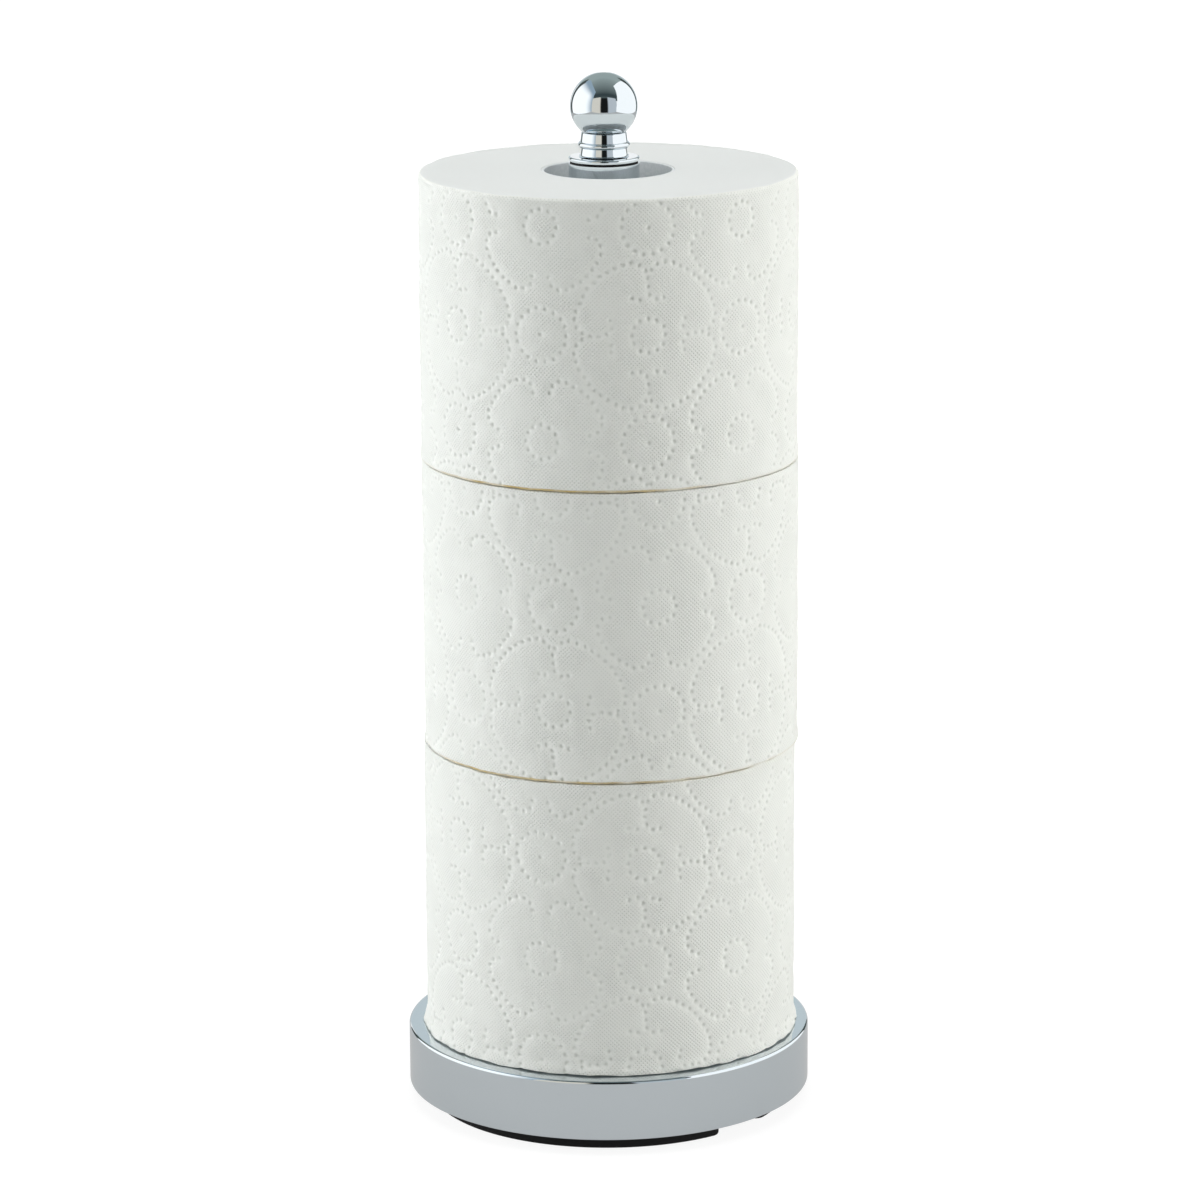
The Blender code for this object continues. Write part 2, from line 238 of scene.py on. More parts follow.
firm = node(tree, MATHS, [firm, loose], operation="MULTIPLY")
pits = node(tree, MATHS, [pits, firm], operation="MULTIPLY")
fibre = node(tree, NOISE, [sheet, 1 / FIBRE_WIDTH, 3.0])
relief = node(tree, BUMP, {"Height": pits, "Distance": NET_DEPTH}, invert=True)
relief = node(tree, BUMP, {"Height": fibre, "Distance": FIBRE_DEPTH, "Normal": relief})
# Darker at the large dots and in the pits: painted shade, and at the dots partly denser pressed tissue too.
shade = node(tree, RANGE, [to_dot, SHADE_FROM, SHADE_TO, DOT_PRESSED_AND_SHADED, 0.0], **SMOOTH)
shade = node(tree, MATHS, [pits, PIT_PAINTED_SHADE, shade], operation="MULTIPLY_ADD")
tones = node(tree, MIX, [shade, linear(TISSUE_WHITE), linear(TISSUE_PRESSED_AND_SHADED)], data_type="RGBA")
place = node(tree, COORDINATES).outputs["Object"]
height = node(tree, SPLIT, [place]).outputs["Z"]
higher = node(tree, MATHS, [height, NO_SEAM_SHADE_BELOW], operation="GREATER_THAN")
up_sheet = node(tree, SPLIT, [sheet]).outputs["Y"]
uneven = node(tree, RANGE, [patch["Fac"], *SEAM_SHADE_STRENGTH])
forward = node(tree, VECTORS, [place, SEAM_SHADE_FACING], operation="DOT_PRODUCT").outputs["Value"]
facing = node(tree, RANGE, [forward, *SEAM_SHADE_REACH])
# The painted seam shade: low on the sheet, on the upper rolls only, uneven, and strongest towards the front.
side_seam_shade = node(tree, RANGE, [up_sheet, SEAM_SHADE_TO, SEAM_SHADE_FROM, 1.0, 0.0])
for share in (higher, uneven, facing):
    side_seam_shade = node(tree, MATHS, [side_seam_shade, share], operation="MULTIPLY")
tones = node(tree, MIX, [side_seam_shade, tones.outputs["Result"], linear(PAINTED_SEAM_TONE)], data_type="RGBA")
tree.links.new(tones.outputs["Result"], shader["Base Color"])
tree.links.new(relief.outputs[0], shader["Normal"])
print(tissue.name, f"with pins {NET_PITCH / MM / math.sqrt(2):.2f} mm apart")

# %% [markdown]
# ## The sawn ends of the rolls
#
# The log of paper is sawn into rolls, so each end shows some two hundred layers on edge.
# They are about 0.2 mm apart, too fine to show here, so the lines are drawn at four times that, and unevenly:
# the noise is stretched along the layers, because it is read at the distance from the post and slowly round it.
# The outermost layers of the two upper rolls' lower ends are painted straw brown: painted shade in the seam
# where each of them stands on the roll below.

# %% Sawn tissue
LAYER_PITCH, ROUND_SHARE = 0.8 * MM, 0.02
SAW_GRAIN, SAW_DEPTH = 0.35 * MM, 0.12 * MM
SAWN_WHITE = "#E9EBEA"
# Where the painted seam shade lies on the sawn ends: the outermost layers, by distance from the post.
PAINTED_SEAM_TONE_FROM, PAINTED_SEAM_TONE_TO = 54 * MM, 58 * MM
LOWER_END = 1 * MM

sawn, tree, shader = finish("sawn_tissue_edges", SAWN_WHITE, Roughness=0.97, Specular_IOR_Level=0.1)
sheet = node(tree, ATTRIBUTE, attribute_name="sheet").outputs["Vector"]
squeezed = node(tree, VECTORS, [sheet, (ROUND_SHARE / LAYER_PITCH, 0, 1 / LAYER_PITCH)], operation="MULTIPLY")
layers = node(tree, NOISE, [squeezed, 1.0, 2.0])
place = node(tree, COORDINATES).outputs["Object"]
fluff = node(tree, NOISE, [place, 1 / SAW_GRAIN, 3.0])
both = node(tree, MATHS, [layers, fluff], operation="ADD")
relief = node(tree, BUMP, {"Height": both, "Strength": 0.6, "Distance": SAW_DEPTH})
sheet_at = node(tree, SPLIT, [sheet]).outputs
# Painted seam shade on the outermost layers of the upper rolls' lower ends.
lower = node(tree, MATHS, [sheet_at["Y"], LOWER_END], operation="LESS_THAN")
end_seam_shade = node(tree, RANGE, [sheet_at["Z"], PAINTED_SEAM_TONE_FROM, PAINTED_SEAM_TONE_TO, 0.0, 1.0])
end_seam_shade = node(tree, MATHS, [end_seam_shade, lower], operation="MULTIPLY")
height = node(tree, SPLIT, [place]).outputs["Z"]
higher = node(tree, MATHS, [height, NO_SEAM_SHADE_BELOW], operation="GREATER_THAN")
end_seam_shade = node(tree, MATHS, [end_seam_shade, higher], operation="MULTIPLY")
tones = node(tree, MIX, [end_seam_shade, linear(SAWN_WHITE), linear(PAINTED_SEAM_TONE)], data_type="RGBA")
tree.links.new(tones.outputs["Result"], shader["Base Color"])
tree.links.new(relief.outputs[0], shader["Normal"])
print(sawn.name)

# %% [markdown]
# ## Cardboard
#
# The core is two strips of whitish board wound in a spiral and glued. The eye sees a dull white with grey
# flecks, and one slanting joint where the strips meet edge to edge.

# %% Cardboard
STRIP_WIDTH = 70 * MM
BOARD_FLECK, BOARD_DEPTH = 0.9 * MM, 0.2 * MM
BOARD_GREY, BOARD_WHITE = "#E4E8E9", "#F2F4F5"
JOINT_SHARE = 0.012

cardboard, tree, shader = finish("spiral_wound_grey_board", "#EBEEEF", Roughness=0.9, Specular_IOR_Level=0.2)
place = node(tree, COORDINATES).outputs["Object"]
fleck = node(tree, NOISE, [place, 1 / BOARD_FLECK, 4.0])
share = node(tree, RANGE, [fleck, 0.3, 0.7, 0.0, 1.0])
tones = node(tree, MIX, [share, linear(BOARD_GREY), linear(BOARD_WHITE)], data_type="RGBA")
around = node(tree, SPLIT, [place]).outputs
angle = node(tree, MATHS, [around["Y"], around["X"]], operation="ARCTAN2")
turns = node(tree, MATHS, [angle, 1 / math.tau], operation="MULTIPLY")
strips = node(tree, MATHS, [around["Z"], 1 / STRIP_WIDTH, turns], operation="MULTIPLY_ADD")
strips = node(tree, MATHS, [strips], operation="FRACT")
joint = node(tree, RANGE, [strips, 0.0, JOINT_SHARE, -1.0, 0.0])
rise = node(tree, MATHS, [fleck, 0.2, joint], operation="MULTIPLY_ADD")
relief = node(tree, BUMP, {"Height": rise, "Distance": BOARD_DEPTH})
tree.links.new(tones.outputs["Result"], shader["Base Color"])
tree.links.new(relief.outputs[0], shader["Normal"])
print(cardboard.name)

# %% [markdown]
# ## Turned pieces
#
# Everything in chrome is round about the post, so each piece is a profile spun about Z.
# The frame's own solids have flat facets a few degrees wide, which is plenty for a model that moves
# but would show at once in a mirror. The same profiles are spun here in much finer steps.


# %% Spinning a profile
TURN_STEPS = 240
SHARP = math.radians(32)


def arc(centre, height, radius, start, end, steps=10):
    """Points (distance from the post, height) on an arc about (centre, height), its angles in degrees."""
    angles = [math.radians(start + (end - start) * step / steps) for step in range(steps + 1)]
    return [(centre + radius * math.cos(a), height + radius * math.sin(a)) for a in angles]


def dressed(mesh, body, replaced):
    """An object for a finished mesh and of its name, which rides on a body in place of a node."""
    piece = bpy.data.objects.new(mesh.name, mesh)
    bpy.context.scene.collection.objects.link(piece)
    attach(piece, body)
    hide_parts(replaced)
    print(f"{piece.name}: {len(mesh.polygons)} faces for {replaced}")


def spun(name, profile, material, x=0):
    """A closed mesh turned about an upright line through x."""
    shape = bmesh.new()
    points = [shape.verts.new((distance, 0, height)) for distance, height in profile]
    edges = [shape.edges.new(pair) for pair in zip(points, points[1:] + points[:1])]
    bmesh.ops.spin(
        shape, geom=points + edges, cent=(0, 0, 0), axis=(0, 0, 1), angle=math.tau, steps=TURN_STEPS
    )
    bmesh.ops.remove_doubles(shape, verts=shape.verts, dist=0.001 * MM)
    bmesh.ops.recalc_face_normals(shape, faces=shape.faces)
    bmesh.ops.translate(shape, verts=shape.verts, vec=(x, 0, 0))
    mesh = bpy.data.meshes.new(name)
    shape.to_mesh(mesh)
    shape.free()
    mesh.materials.append(material)
    mesh.shade_smooth()
    mesh.set_sharp_from_angle(angle=SHARP)
    return mesh


print(f"{TURN_STEPS} steps a turn, {360 / TURN_STEPS} degrees each")

# %% [markdown]
# ## The base
#
# A cup pressed from sheet steel, open downwards. Its top edge is bent round a small radius, which catches
# a thin bright line all round, and its lower rim is rounded.

# %% Base shell
BASE_WALL = 0.8 * MM
BASE_EDGE = 1.1 * MM
BOLT_HOLE = 4.3 * MM

low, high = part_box("base_shell")
base_radius, base_low, base_high = high[0], low[2], high[2]
corner = base_radius - BASE_EDGE
shell = [(BOLT_HOLE, base_high)]
shell += arc(corner, base_high - BASE_EDGE, BASE_EDGE, 90, 0)
shell += arc(base_radius - BASE_WALL / 2, base_low + BASE_WALL / 2, BASE_WALL / 2, 0, -180)
shell += arc(corner, base_high - BASE_EDGE, BASE_EDGE - BASE_WALL, 0, 90)
shell += [(BOLT_HOLE, base_high - BASE_WALL)]
dressed(spun("chromed_base", shell, chrome), "stand", "base_shell")

# %% [markdown]
# ## The foot ring
#
# A strip of rubber moulded as an open ring, with rounded ends and a gap between them at the front right.
# A flat curve in the shape of the letter C is given a height and a rounded edge by Blender's own bevel.

# %% Foot ring
FOOT_WIDTH = 7 * MM
FOOT_SPLIT = 16 * MM
FOOT_SPLIT_ANGLE = math.radians(-43)
FOOT_EDGE = 0.8 * MM
FOOT_STEPS = 180
FOOT_END_STEPS = 16

low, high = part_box("foot_ring")
foot_radius, foot_height = -low[0], high[2] - low[2]
middle = foot_radius - FOOT_WIDTH / 2
half_split = (FOOT_SPLIT + FOOT_WIDTH) / (2 * middle)
first, last = FOOT_SPLIT_ANGLE + half_split, FOOT_SPLIT_ANGLE + math.tau - half_split
turns = [first + (last - first) * step / FOOT_STEPS for step in range(FOOT_STEPS + 1)]
outline = [Vector((math.cos(a), math.sin(a))) * foot_radius for a in turns]
for at, start in ((last, 0), (first, math.pi)):
    if start:
        outline += [Vector((math.cos(a), math.sin(a))) * (foot_radius - FOOT_WIDTH) for a in reversed(turns)]
    centre = Vector((math.cos(at), math.sin(at))) * middle
    for step in range(1, FOOT_END_STEPS):
        a = at + start + math.pi * step / FOOT_END_STEPS
        outline.append(centre + Vector((math.cos(a), math.sin(a))) * FOOT_WIDTH / 2)

curve = bpy.data.curves.new("rubber_foot", "CURVE")
curve.dimensions, curve.fill_mode = "2D", "BOTH"
curve.extrude, curve.bevel_depth, curve.offset = foot_height / 2 - FOOT_EDGE, FOOT_EDGE, -FOOT_EDGE
curve.bevel_resolution = 3
spline = curve.splines.new("POLY")
spline.points.add(len(outline) - 1)
for point, (x, y) in zip(spline.points, outline):
    point.co = (x, y, 0, 1)
spline.use_cyclic_u = True
blank = bpy.data.objects.new("rubber_foot_outline", curve)
foot_mesh = bpy.data.meshes.new_from_object(blank)
bpy.data.objects.remove(blank)
foot_mesh.name = "rubber_foot"
foot_mesh.transform(Matrix.Translation((0, 0, foot_height / 2)))
foot_mesh.materials.clear()
foot_mesh.materials.append(plain["moulded_black_rubber"])
foot_mesh.shade_smooth()
foot_mesh.set_sharp_from_angle(angle=SHARP)
dressed(foot_mesh, "stand", "foot_ring")

# %% [markdown]
# ## The post and what sits on it
#
# The post is a plain chromed tube. A cap closes it, then come a short neck with a bead round it and the ball.
# The cap and the neck were turned on a lathe, so their edges are broken by a fraction of a millimetre,
# and each broken edge is a bright ring in the chrome. A fine groove runs round the cap under its rim. Its faces
# are picked by their place and take the black rubber, as painted shade for the dark gap line there.

# %% Post, collar, neck and ball
POST_WALL = 1.0 * MM
COLLAR_EDGE = 0.6 * MM
COLLAR_TOP = 2.0 * MM
COLLAR_WALL = 0.85 * MM
GROOVE_BELOW, GROOVE_HEIGHT, GROOVE_DEPTH = 1.2 * MM, 0.8 * MM, 0.45 * MM
STUD_HOLE = 3.3 * MM
NECK_EDGE = 0.45 * MM
NECK_TAPER = 0.32 * MM
BEAD_STANDOUT = 0.9 * MM
BEAD_HEIGHT = 1.9 * MM
BEAD_PLACE = 0.459

low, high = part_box("post_tube")
tube_radius = high[0]
tube = [(tube_radius - POST_WALL, low[2]), (tube_radius - POST_WALL, high[2])]
tube += [(tube_radius, high[2]), (tube_radius, low[2])]
dressed(spun("chromed_post", tube, chrome), "stand", "post_tube")

low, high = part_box("finial_collar")
collar_radius = high[0]
inside = collar_radius - COLLAR_WALL
collar = [(STUD_HOLE, high[2])]
collar += arc(collar_radius - COLLAR_EDGE, high[2] - COLLAR_EDGE, COLLAR_EDGE, 90, 0)
groove_top, groove_foot = high[2] - GROOVE_BELOW, high[2] - GROOVE_BELOW - GROOVE_HEIGHT
collar += [(collar_radius, groove_top), (collar_radius - GROOVE_DEPTH, groove_top)]
collar += [(collar_radius - GROOVE_DEPTH, groove_foot), (collar_radius, groove_foot)]
collar += [(collar_radius, low[2]), (inside, low[2])]
collar += [(inside, high[2] - COLLAR_TOP), (STUD_HOLE, high[2] - COLLAR_TOP)]
mesh = spun("chromed_collar", collar, chrome)
# The groove's faces take black rubber: painted shade in the groove under the cap's rim.
mesh.materials.append(plain["moulded_black_rubber"])
for face in mesh.polygons:
    in_groove = groove_foot < face.center.z < groove_top
    if in_groove and math.hypot(*face.center.xy) > collar_radius - 1.5 * GROOVE_DEPTH:
        face.material_index = 1
dressed(mesh, "stand", "finial_collar")

low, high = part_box("finial_neck")
neck_radius = high[0] - BEAD_STANDOUT
bead_centre = low[2] + (high[2] - low[2]) * BEAD_PLACE
bead = arc(0, 0, 1, 90, -90, 16)
neck = [(STUD_HOLE, high[2])]
neck += arc(neck_radius - NECK_TAPER / 2 - NECK_EDGE, high[2] - NECK_EDGE, NECK_EDGE, 90, 0)
neck += [(neck_radius + NECK_TAPER / 2, bead_centre + BEAD_HEIGHT / 2)]
neck += [(neck_radius + BEAD_STANDOUT * out, bead_centre + BEAD_HEIGHT / 2 * up) for out, up in bead]
neck += [(neck_radius - NECK_TAPER / 2, bead_centre - BEAD_HEIGHT / 2)]
neck += arc(neck_radius + NECK_TAPER / 2 + NECK_EDGE, low[2] + NECK_EDGE, NECK_EDGE, -180, -90)
neck += [(STUD_HOLE, low[2])]
dressed(spun("chromed_neck", neck, chrome), "stand", "finial_neck")

low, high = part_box("finial_ball")
ball_radius = high[0]
ball_centre = high[2] - ball_radius
seat_angle = math.degrees(math.asin((low[2] - ball_centre) / ball_radius))
ball = [(0, high[2])] + arc(0, ball_centre, ball_radius, 90, seat_angle, 90)[1:] + [(0, low[2])]
dressed(spun("chromed_ball", ball, chrome), "stand", "finial_ball")

# %% [markdown]
# ## The cores
#
# A cardboard tube in each roll. The top one shows round the post, so its rims are worn a little round.

# %% Cores
ROLLS = ("lower", "middle", "upper")
CORE_BORE = 20 * MM
CORE_RIM = 0.35 * MM

turning = {joint["name"]: joint for joint in frame["record"]["behaviour"]["joints"]}
for roll in ROLLS:
    low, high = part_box(f"{roll}_roll_core")
    x = turning[f"{roll}_roll_turn"]["pos_m"][0]
    outside = high[0] - x
    core = arc(CORE_BORE + CORE_RIM, high[2] - CORE_RIM, CORE_RIM, 180, 90, 4)
    core += arc(outside - CORE_RIM, high[2] - CORE_RIM, CORE_RIM, 90, 0, 4)
    core += arc(outside - CORE_RIM, low[2] + CORE_RIM, CORE_RIM, 0, -90, 4)
    core += arc(CORE_BORE + CORE_RIM, low[2] + CORE_RIM, CORE_RIM, -90, -180, 4)
    mesh = spun(f"{roll}_cardboard_core", core, cardboard, x)
    dressed(mesh, f"{roll}_core", f"{roll}_roll_core")

# %% [markdown]
# ## The pattern on the tissue
#
# An old ornament of dots on a square net: rosettes of four lobes, the same with the lobes cut apart into
# scrolls, and plain rings between them. Each lobe is walked like a turtle's path that only ever turns left:
# along a wide circle, round a shoulder, down a stem and into a curl. A dot is dropped at each pace.
# Half a lobe is walked, from its diagonal, and the rest follows by mirror and quarter turns.


# %% Rosettes, scrolls and rings
DOT_PACE = 2.6 * MM
FINE_STEP = 0.02 * MM
ROSETTE = dict(reach=23.4 * MM, shoulder=5.3 * MM, gap=0, stem=3.0 * MM, curl=3.2 * MM, curl_turn=135)
SCROLLS = dict(reach=20.7 * MM, shoulder=4.0 * MM, gap=2.7 * MM, stem=0, curl=6.0 * MM, curl_turn=20)


def ring(radius, count):
    """Dots evenly round a circle."""
    return [
        (radius * math.cos(math.tau * dot / count), radius * math.sin(math.tau * dot / count))
        for dot in range(count)
    ]


def lobes(reach, shoulder, gap, stem, curl, curl_turn):
    """The dots of four lobes that reach out to the diagonals."""
    first = math.acos((shoulder + gap) / (reach - shoulder)) - math.pi / 4
    legs = [(reach, reach * first), (shoulder, shoulder * (math.radians(135) - first))]
    legs += [(math.inf, stem), (curl, curl * math.radians(curl_turn))]
    x = y = reach * math.sqrt(0.5)
    heading, walked, half = math.radians(135), 0, [(x, y)]
    for radius, length in legs:
        for _ in range(round(length / FINE_STEP)):
            heading += FINE_STEP / radius
            x += FINE_STEP * math.cos(heading)
            y += FINE_STEP * math.sin(heading)
            walked += FINE_STEP
            if walked >= DOT_PACE * len(half):
                half.append((x, y))
    lobe = half + [(y, x) for x, y in half[1:]]
    dots = []
    for dot in [turned for x, y in lobe for turned in ((x, y), (-y, x), (-x, -y), (y, -x))]:
        if all(math.dist(dot, other) > DOT_PACE / 2 for other in dots):
            dots.append(dot)
    return dots


small_ring = ring(5.3 * MM, 12)
motifs = {
    (0, 0): lobes(**ROSETTE) + small_ring,
    (1, 1): lobes(**SCROLLS) + small_ring,
    (0, 1): ring(8.2 * MM, 18) + [(0, 0)],
    (1, 0): ring(8.2 * MM, 18) + [(0, 0)],
}
print("dots in each motif:", [len(dots) for dots in motifs.values()])

# %% [markdown]
# ## How the three rolls differ
#
# Each roll was sawn from its log at a different place, so its pattern starts elsewhere. A rosette's centre is
# given by its angle from the front and its height above the roll's lower end, and the lowest sheet runs
# a little askew. The loose end of the sheet lies at the back, where the frame's solids have it too.

# %% The dots of each roll
PATTERN_PITCH = 33.3 * MM
PAPER_RADIUS = 60 * MM
ROSETTE_PLACE = {"lower": (9.7, 69.1), "middle": (-17.9, 23.0), "upper": (10.8, 48.6)}
SLANT = {"lower": -0.045, "middle": -0.008, "upper": 0.0}
LOOSE_END = {"lower": 118, "middle": 62, "upper": 96}
DOT_WANDER, DOT_MARGIN = 0.10 * MM, 0.8 * MM
COLUMNS, ROWS = range(-7, 14), range(-3, 6)

sheet_length = math.tau * PAPER_RADIUS
dots_of = {}
for number, roll in enumerate(ROLLS):
    low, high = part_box(f"{roll}_roll_paper")
    from_front, above = ROSETTE_PLACE[roll]
    along = math.radians((from_front - 90 - LOOSE_END[roll]) % 360) * PAPER_RADIUS
    wander = random.Random(number)
    dots_of[roll] = []
    for column in COLUMNS:
        for row in ROWS:
            for x, y in motifs[(column % 2, row % 2)]:
                x += along + column * PATTERN_PITCH
                y += above * MM + row * PATTERN_PITCH + SLANT[roll] * (x - along)
                x, y = x + wander.gauss(0, DOT_WANDER), y + wander.gauss(0, DOT_WANDER)
                on_sheet = DOT_MARGIN < x < sheet_length - DOT_MARGIN
                if on_sheet and DOT_MARGIN < y < high[2] - low[2] - DOT_MARGIN:
                    dots_of[roll].append((x, y))
    print(f"{roll} roll: {len(dots_of[roll])} dots on a sheet {sheet_length / MM:.0f} mm long")

# %% [markdown]
# ## The section of a roll
#
# Cut a roll in half, and its section is a rectangle with two rounded corners. It is drawn as a path that starts
# at the top of the bore, goes down it, out under the lower end, up the outside and back in over the upper end.
# The distance along this path is the second coordinate of the flat sheet, so one flat sheet clothes the whole
# roll, ends and bore included. Each point also carries a number, `side`: 1 on the outside, and fading to 0
# over the rounded edges, so that only the outside is embossed. The paper has settled a little out of its core
# onto what is under it. The top roll has been handled most, so its upper edge is the softest.

# %% The section
PAPER_BORE = 21.05 * MM
SETTLED = 0.2 * MM
LOWER_EDGE = 0.2 * MM
UPPER_EDGES = {"lower": 0.35 * MM, "middle": 0.35 * MM, "upper": 1.3 * MM}
EDGE_ROWS = 4
FACE_ROWS = 8


def roll_section(height, upper_edge):
    """Points (distance from the post, height, side) along the path."""
    under = arc(PAPER_RADIUS - LOWER_EDGE, LOWER_EDGE - SETTLED, LOWER_EDGE, -90, 0, EDGE_ROWS)
    over = arc(PAPER_RADIUS - upper_edge, height - upper_edge, upper_edge, 0, 90, EDGE_ROWS)
    path = [(PAPER_BORE, height, 0), (PAPER_BORE, height / 2, 0)]
    for row in range(FACE_ROWS):
        path.append((PAPER_BORE + (under[0][0] - PAPER_BORE) * row / FACE_ROWS, -SETTLED, 0))
    path += [(*corner, step / EDGE_ROWS) for step, corner in enumerate(under)]
    path += [(*corner, 1 - step / EDGE_ROWS) for step, corner in enumerate(over)]
    for row in range(1, FACE_ROWS + 1):
        path.append((over[-1][0] + (PAPER_BORE - over[-1][0]) * row / FACE_ROWS, height, 0))
    return path


def path_lengths(path):
    """How far along the path each of its points lies."""
    lengths = [0]
    for (x0, y0, _), (x1, y1, _) in zip(path, path[1:]):
        lengths.append(lengths[-1] + math.hypot(x1 - x0, y1 - y0))
    return lengths


SIDE_START = 2 + FACE_ROWS + EDGE_ROWS
heights, sections, section_lengths = {}, {}, {}
for roll in ROLLS:
    low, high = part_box(f"{roll}_roll_paper")
    heights[roll] = high[2] - low[2]
    path = roll_section(heights[roll], UPPER_EDGES[roll])
    section_lengths[roll] = path_lengths(path)
    shape = bpy.data.meshes.new(f"{roll}_section")
    links = [(point, point + 1) for point in range(len(path) - 1)]
    shape.from_pydata([(distance, 0, up) for distance, up, _ in path], links, [])
    share = shape.attributes.new("side", "FLOAT", "POINT")
    share.data.foreach_set("value", [point[2] for point in path])
    sections[roll] = bpy.data.objects.new(shape.name, shape)
    print(f"{roll} roll: {heights[roll] / MM:.1f} mm high, its path is {section_lengths[roll][-1] / MM:.1f} mm long")

# %% [markdown]
# ## The flat sheet
#
# A plain grid fine enough for dots two millimetres wide would need a million faces. So the sheet gets
# points where it needs them: rings of points round each dot, and an even millimetre net everywhere else.
# Blender's Delaunay function joins them with well-shaped triangles.

# %% Points where they are needed
CELL = 1.05 * MM
DOT_RINGS = ((0.34 * MM, 6), (0.64 * MM, 10), (0.94 * MM, 12))
DOT_CLEAR = 1.4 * MM
STEP_WIDTH = 0.8 * MM
RING_TWIST = 0.37


def flat_sheet(name, dots, rows):
    """The sheet with its loose end, in its own flat coordinates: x round the roll, y along the section's path."""
    columns = round(sheet_length / CELL)
    across = [sheet_length * column / columns for column in range(columns + 1)] + [sheet_length + STEP_WIDTH]
    first, last = rows[SIDE_START], rows[SIDE_START + 1]
    side_rows = round((last - first) / CELL)
    between = [first + (last - first) * row / side_rows for row in range(1, side_rows)]
    rows = rows[: SIDE_START + 1] + between + rows[SIDE_START + 1 :]
    above = first - LOWER_EDGE
    nearest = KDTree(len(dots))
    for number, (x, y) in enumerate(dots):
        nearest.insert((x, y + above, 0), number)
    nearest.balance()
    points = [Vector((x, y + above)) for x, y in dots]
    for radius, count in DOT_RINGS:
        for number, (x, y) in enumerate(dots):
            for step in range(count):
                a = math.tau * (step + number * RING_TWIST) / count
                spot = Vector((x + radius * math.cos(a), y + above + radius * math.sin(a)))
                inside = CELL / 5 < spot.x < sheet_length - CELL / 5
                if inside and first + CELL / 5 < spot.y < last - CELL / 5:
                    points.append(spot)
    for x in across:
        for y in rows:
            fixed = x in (0, across[-2], across[-1]) or not first < y < last
            if fixed or nearest.find((x, y, 0))[2] > DOT_CLEAR:
                points.append(Vector((x, y)))
    corners, _, faces, *_ = delaunay_2d_cdt(points, [], [], 0, 0.001 * MM)
    flat = bpy.data.meshes.new(name)
    flat.from_pydata([(x, y, 0) for x, y in corners], [], faces)
    cloud = bpy.data.meshes.new(f"{name}_dots")
    cloud.from_pydata([(x, y + above, 0) for x, y in dots], [], [])
    print(f"{name}: {len(corners)} points, {len(faces)} triangles")
    return bpy.data.objects.new(name, flat), bpy.data.objects.new(cloud.name, cloud)


sheets = {roll: flat_sheet(f"{roll}_sheet", dots_of[roll], section_lengths[roll]) for roll in ROLLS}

# %% [markdown]
# ## The winding, as a node tree
#
# The tree does what the mill does, in the same order: a flat sheet, the dots pressed in, then the winding.
# First its inputs. Every size is an input with a name, so one tree serves all three rolls. The names are listed
# under the kind of socket that each one needs.

# %% Inputs of the tree
winding = bpy.data.node_groups.new("winding", "GeometryNodeTree")
SIZES = ["Length", "Radius", "Height", "Bore", "Sheet step", "Step width", "Loose end"]
SIZES += ["Dot depth", "Pin tip", "Dot width", "Quilting", "Softness", "Lip", "Seed"]
INPUTS = {
    "Geometry": ["Flat sheet"],
    "Object": ["Section", "Dots"],
    "Float": SIZES,
    "Vector": ["Place"],
    "Material": ["Side material", "End material"],
}
for kind, names in INPUTS.items():
    for name in names:
        winding.interface.new_socket(name, in_out="INPUT", socket_type=f"NodeSocket{kind}")
    print(f"{kind} inputs:", ", ".join(names))
winding.interface.new_socket("Geometry", in_out="OUTPUT", socket_type="NodeSocketGeometry")
given = node(winding, "NodeGroupInput").outputs

# %% [markdown]
# ## Reading the flat sheet
#
# Each point's x says how far round it is. Its y is looked up along the section's path, which gives its distance
# from the post and its height. The last column of points lies beyond the sheet: it is sent back to the start,
# one step lower, and the strip that it closes is the cut edge of the loose end.

# %% From flat to section
flat_place = node(winding, "GeometryNodeInputPosition").outputs[0]
flat_at = node(winding, SPLIT, [flat_place]).outputs
past_end = node(winding, MATHS, [given["Length"], STEP_WIDTH / 2], operation="ADD")
on_sheet = node(winding, MATHS, [flat_at["X"], past_end], operation="LESS_THAN")
along = node(winding, MATHS, [flat_at["X"], on_sheet], operation="MULTIPLY")
path_in = node(winding, "GeometryNodeObjectInfo", [given["Section"]]).outputs["Geometry"]
path_in = node(winding, "GeometryNodeMeshToCurve", [path_in])
side_in = node(winding, "GeometryNodeInputNamedAttribute", ["side"], data_type="FLOAT")
read_at = {"Curves": path_in, "Value": side_in, "Length": flat_at["Y"]}
read = node(winding, "GeometryNodeSampleCurve", read_at, mode="LENGTH", data_type="FLOAT").outputs
side = read["Value"]
profile = read["Position"]
profile_at = node(winding, SPLIT, [profile]).outputs
print("the sheet is read")

# %% [markdown]
# ## Pressing the dots in
#
# Geometry Proximity tells each point how far the nearest dot is. A pin has a small flat tip, so a dot has a flat
# floor and a sloping wall. Round the dots the sheet sinks a little over some millimetres, which leaves
# soft pillows between the lines. The rollers don't press equally hard everywhere: a slow noise,
# read at the dot and not at the point, makes whole dots shallower in places.

# %% Dots and pillows
PRESS_PATCH = 22 * MM
PRESS_STRENGTH = (0.32, 0.62, 0.6, 1.1)
PILLOW_WIDTH = 3.6 * MM

